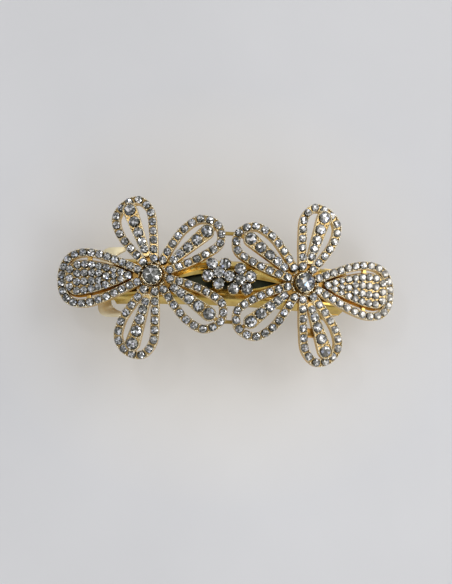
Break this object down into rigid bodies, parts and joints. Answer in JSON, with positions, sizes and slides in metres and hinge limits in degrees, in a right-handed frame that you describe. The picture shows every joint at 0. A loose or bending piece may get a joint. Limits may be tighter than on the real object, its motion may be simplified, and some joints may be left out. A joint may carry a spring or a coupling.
{
  "type": "hair clip",
  "caption": "Arched gold spring-catch barrette with an openwork ornament of paired five-petal flowers and a small stone cluster set with clear crystals.",
  "frame": {"origin": "centre of the outline, on the plane under the lowest point of the closed clip", "axes": "+X along the clip from the catch to the hinge, +Y across it towards the far ear, +Z from the head outwards through the ornament"},
  "size_m": [0.1024, 0.0504, 0.0254],
  "materials": {
    "gold": "bright warm gold plating, polished, deeper orange in the recesses",
    "pale_gold": "pale champagne gold plating on beaded edges, claws and the catch",
    "spring_steel": "dark blued spring steel, satin",
    "crystal": "clear faceted glass stone with a mirrored back"
  },
  "bodies": {
    "root": {"top_plate": "gold", "hinge_pin": "gold", "catch_base": "pale_gold", "catch_rivet": "gold", "spring_rivet": "gold", "left_solder_pad": "gold", "right_solder_pad": "gold", "left_flower": "gold", "right_flower": "gold", "left_centre_cup": "pale_gold", "right_centre_cup": "pale_gold", "left_centre_stone": "crystal", "right_centre_stone": "crystal", "far_bridge": "gold", "near_bridge": "gold", "cluster_frame": "gold", "cluster_stone_1": "crystal", "cluster_stone_2": "crystal", "cluster_stone_3": "crystal", "cluster_stone_4": "crystal", "cluster_stone_5": "crystal", "cluster_stone_6": "crystal", "cluster_stone_7": "crystal", "cluster_stone_8": "crystal", "cluster_stone_9": "crystal", "cluster_stone_10": "crystal", "cluster_stone_11": "crystal"},
    "clasp_arm": {"clasp_arm": "pale_gold"},
    "tension_spring": {"tension_spring": "spring_steel"},
    "catch_ear_far": {"catch_ear_far": "pale_gold"},
    "catch_ear_near": {"catch_ear_near": "pale_gold"}
  },
  "joints": [
    {"name": "arm_hinge", "type": "hinge", "parent": "root", "child": "clasp_arm", "pos_m": [0.03063, 0.00003, 0.00517], "axis": [0, -1, 0], "range_deg": [0, 105]},
    {"name": "spring_flex", "type": "hinge", "parent": "root", "child": "tension_spring", "pos_m": [0.02883, 0.00003, 0.01456], "axis": [0, 1, 0], "range_deg": [0, 1], "stiffness_Nm_per_rad": 2, "springref_deg": -1.15},
    {"name": "far_ear_pinch", "type": "hinge", "parent": "root", "child": "catch_ear_far", "pos_m": [-0.03777, 0.00248, 0.01086], "axis": [-0.9356, 0, -0.3531], "range_deg": [0, 8], "stiffness_Nm_per_rad": 0.15, "springref_deg": -2.86},
    {"name": "near_ear_pinch", "type": "hinge", "parent": "root", "child": "catch_ear_near", "pos_m": [-0.03777, -0.00242, 0.01086], "axis": [0.9356, 0, 0.3531], "range_deg": [0, 8], "stiffness_Nm_per_rad": 0.15, "springref_deg": -2.86}
  ]
}
